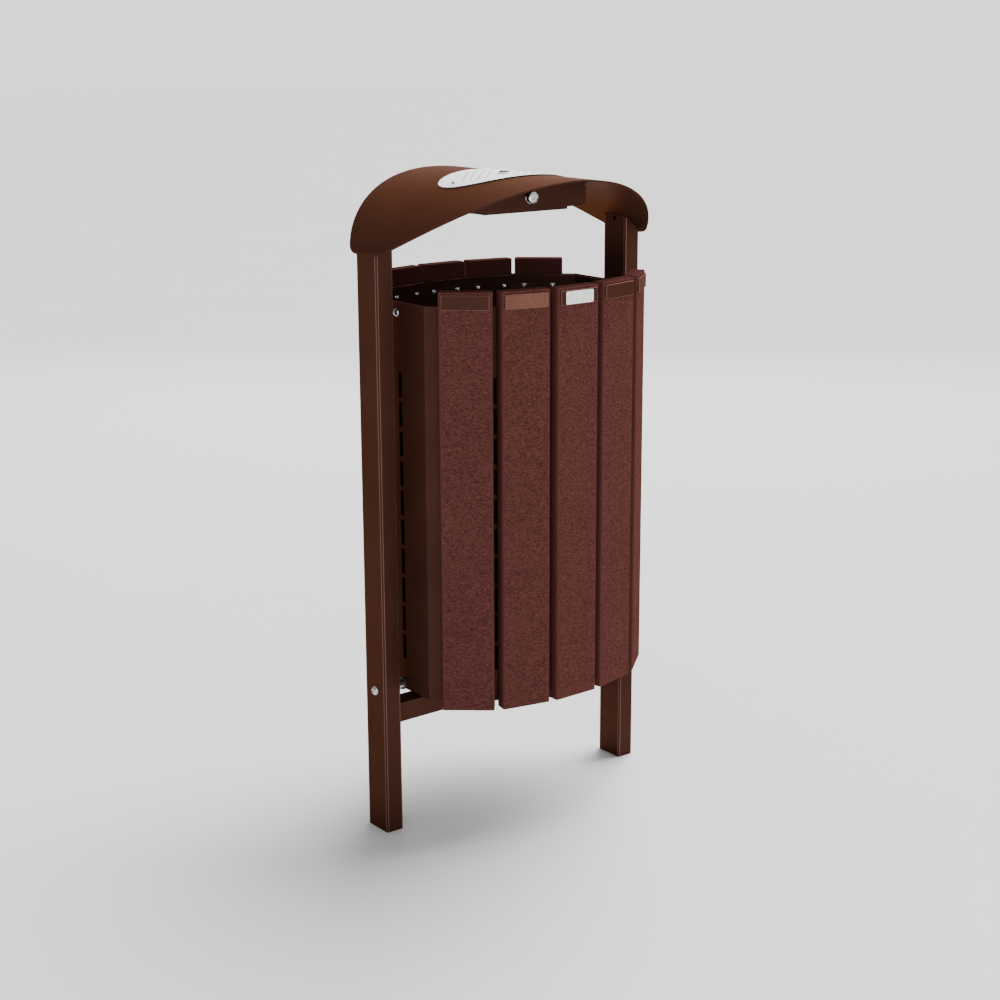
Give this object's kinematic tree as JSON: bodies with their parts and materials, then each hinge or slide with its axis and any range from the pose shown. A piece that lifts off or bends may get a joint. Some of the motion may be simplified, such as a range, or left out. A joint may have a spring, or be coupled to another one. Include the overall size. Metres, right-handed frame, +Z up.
{
  "type": "litter bin",
  "caption": "Street litter bin: two posts under an arched hood with an ash box carry a tilting slotted drum clad with vertical plastic slats.",
  "frame": {"origin": "on the ground, midway between the two posts", "axes": "+X from the left post to the right post, +Y towards the back, +Z up"},
  "size_m": [0.595, 0.416, 1.154],
  "materials": {
    "powder_coat": "fine-textured satin powder coat",
    "slat_plastic": "grained matt recycled plastic",
    "stainless": "satin",
    "chrome": "polished",
    "rubber": "matt",
    "nylon": "satin",
    "badge_white": "satin, blank"
  },
  "bodies": {
    "frame": {"post_left": "powder_coat", "post_right": "powder_coat", "post_foot_plates": "powder_coat", "crossmember": "powder_coat", "hood": "powder_coat", "ash_box_housing": "powder_coat", "ash_front_plate": "powder_coat", "stubbing_plate": "stainless", "stubbing_plate_screws": "stainless", "ash_lock_collar": "chrome", "ash_tray_hinge_pin": "stainless", "pivot_bolts": "stainless", "pivot_spacers": "stainless", "pivot_washers": "stainless", "pivot_nuts": "stainless", "stop_buffers": "rubber", "drum_lock_collar": "chrome"},
    "drum": {"shell_front": "powder_coat", "shell_back": "powder_coat", "drum_floor": "powder_coat", "hinge_plates": "powder_coat", "pivot_bushes": "nylon", "side_bolts": "stainless", "side_nuts": "stainless", "slat_front_1": "slat_plastic", "slat_front_2": "slat_plastic", "slat_front_3": "slat_plastic", "slat_front_4": "slat_plastic", "slat_front_5": "slat_plastic", "slat_back_1": "slat_plastic", "slat_back_2": "slat_plastic", "slat_back_3": "slat_plastic", "slat_back_4": "slat_plastic", "slat_back_5": "slat_plastic", "slat_plate_1": "powder_coat", "slat_plate_2": "powder_coat", "slat_plate_3": "powder_coat", "slat_plate_4": "powder_coat", "slat_plate_5": "powder_coat", "badge": "badge_white", "slat_screws_front": "stainless", "slat_screws_back": "stainless", "drum_lock_catch": "stainless"},
    "ash_tray": {"ash_tray": "powder_coat"},
    "ash_lock": {"ash_lock_barrel": "chrome", "ash_lock_cam": "stainless"},
    "drum_lock": {"drum_lock_barrel": "chrome", "drum_lock_cam": "stainless"},
    "bag_ring": {"bag_ring": "powder_coat"}
  },
  "joints": [
    {"name": "drum_tilt", "type": "hinge", "parent": "frame", "child": "drum", "pos_m": [0, 0, 0.2615], "axis": [1, 0, 0], "range_deg": [0, 38]},
    {"name": "ash_tray_drop", "type": "hinge", "parent": "frame", "child": "ash_tray", "pos_m": [0, 0.063, 1.1], "axis": [1, 0, 0], "range_deg": [0, 35]},
    {"name": "ash_lock_turn", "type": "hinge", "parent": "frame", "child": "ash_lock", "pos_m": [0, -0.07, 1.115], "axis": [0, -1, 0], "range_deg": [0, 90]},
    {"name": "drum_lock_turn", "type": "hinge", "parent": "frame", "child": "drum_lock", "pos_m": [0.27, 0.01, 0.88], "axis": [1, 0, 0], "range_deg": [0, 90]},
    {"name": "bag_ring_lift", "type": "slide", "parent": "drum", "child": "bag_ring", "axis": [0, 0, 1], "range_m": [0, 0.06]}
  ]
}
